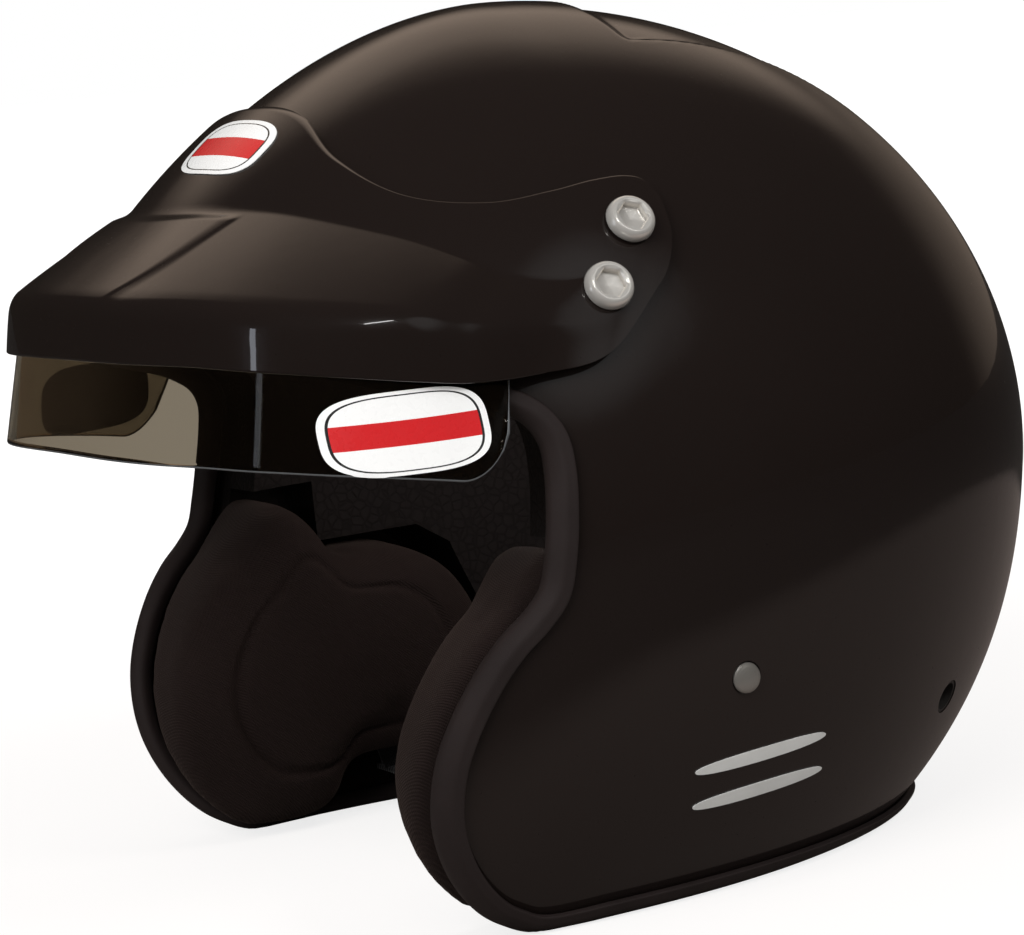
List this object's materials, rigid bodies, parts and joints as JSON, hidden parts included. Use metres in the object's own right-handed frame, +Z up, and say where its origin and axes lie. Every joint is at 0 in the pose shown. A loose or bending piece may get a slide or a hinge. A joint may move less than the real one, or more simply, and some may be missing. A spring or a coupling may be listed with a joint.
{
  "type": "open-face auto racing helmet",
  "caption": "Open-face auto racing helmet with a screwed-on peak, smoked eyeshade, cheek pads and a buckled chin strap that swings fore and aft.",
  "frame": {"origin": "middle of the whole helmet's footprint, on the level of the rim trim's flat foot", "axes": "+Z up, the face looks along -Y, +X is the wearer's left"},
  "size_m": [0.2502, 0.294, 0.2468],
  "materials": {
    "shell": "high gloss clear coat over a warm black composite",
    "liner": "moulded foam bead",
    "lining": "soft ribbed knit",
    "trim": "matte",
    "peak": "gloss",
    "shade": "smoked, gloss",
    "steel": "polished",
    "spacer": "matte",
    "webbing": "woven",
    "ring": "polished"
  },
  "bodies": {
    "helmet": {"outer_shell": "shell", "eps_liner": "liner", "crown_pad": "lining", "brow_pad": "lining", "rear_pad": "lining", "neck_roll": "lining", "cheek_pad_left": "lining", "cheek_pad_right": "lining", "edge_trim": "trim", "peak": "peak", "eyeshade": "shade", "peak_screws": "steel", "peak_spacers": "spacer", "peak_nuts": "steel", "strap_rivets": "steel", "restraint_inserts": "steel", "cheek_snaps_left": "spacer", "cheek_snaps_right": "spacer"},
    "chin_strap": {"strap_anchors": "steel", "chin_strap_left": "webbing", "chin_strap_right": "webbing", "d_ring_upper": "ring", "d_ring_lower": "ring", "strap_snap": "steel"}
  },
  "joints": [
    {"name": "chin_strap_swing", "type": "hinge", "parent": "helmet", "child": "chin_strap", "pos_m": [0, -0.00798, 0.0615], "axis": [1, 0, 0], "range_deg": [-8, 8]}
  ]
}
